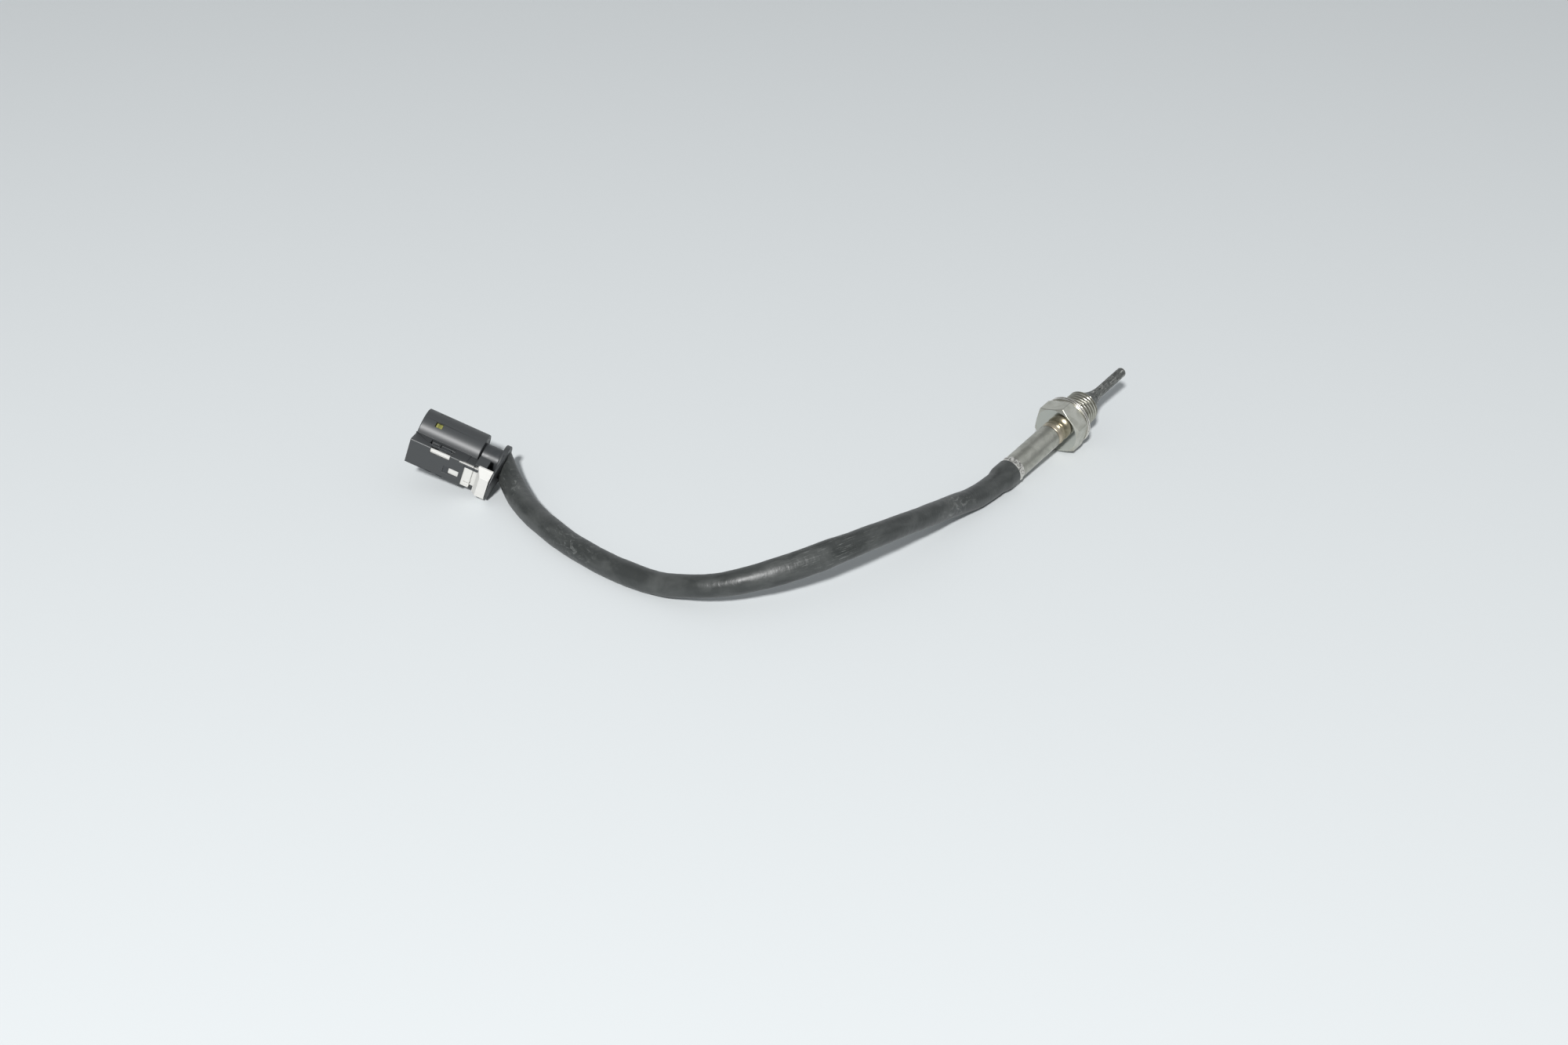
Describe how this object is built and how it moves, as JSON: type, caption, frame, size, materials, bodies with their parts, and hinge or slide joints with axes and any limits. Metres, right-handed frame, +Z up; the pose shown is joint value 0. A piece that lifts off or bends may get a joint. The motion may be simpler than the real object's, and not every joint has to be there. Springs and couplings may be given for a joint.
{
  "type": "temperature sensor",
  "caption": "Exhaust gas temperature sensor: closed probe and threaded hexagon, crimped ferrule, black sleeved lead and sealed plug with a white lock.",
  "frame": {"origin": "on the table under the middle of the sensor head, without its lead and plug", "axes": "+X along the head towards the probe tip, +Z up from the table"},
  "size_m": [0.2318, 0.199, 0.0285],
  "materials": {
    "plated_steel": "satin plated, worn",
    "washer_steel": "bright rolled",
    "sooted_steel": "sooted and scratched",
    "ceramic_element": "matt",
    "insulation": "matt, compacted",
    "alloy_wire": "drawn",
    "braze": "smooth, dull gold",
    "ferrule_steel": "matt plated, pitted",
    "black_rubber": "matt",
    "sleeve_rubber": "satin, scuffed",
    "wire_jacket": "matt",
    "black_plastic": "moulded, satin",
    "carrier_plastic": "moulded, satin",
    "olive_rubber": "matt",
    "tinned_brass": "tinned",
    "white_plastic": "moulded, satin"
  },
  "bodies": {
    "sensor": {"hex_body": "plated_steel", "crush_washer": "washer_steel", "probe_sheath": "sooted_steel", "sensing_element": "ceramic_element", "mineral_insulation": "insulation", "element_wire_upper": "alloy_wire", "element_wire_lower": "alloy_wire", "neck_tube": "plated_steel", "braze_collar": "braze", "crimp_ferrule": "ferrule_steel", "splice_insulator": "insulation", "splice_upper": "alloy_wire", "splice_lower": "alloy_wire", "ferrule_grommet": "black_rubber", "lead_sleeve": "sleeve_rubber", "lead_wire_upper": "wire_jacket", "lead_wire_lower": "wire_jacket", "plug_housing": "black_plastic", "terminal_carrier": "carrier_plastic", "interface_seal": "olive_rubber", "terminal_upper": "tinned_brass", "terminal_lower": "tinned_brass", "wire_seal_upper": "olive_rubber", "wire_seal_lower": "olive_rubber", "rear_plate": "black_plastic"},
    "lock": {"plug_lock": "white_plastic"}
  },
  "joints": [
    {"name": "lock_slide", "type": "slide", "parent": "sensor", "child": "lock", "axis": [-0.4101, 0.8408, 0.3535], "range_m": [0, 0.003]}
  ]
}
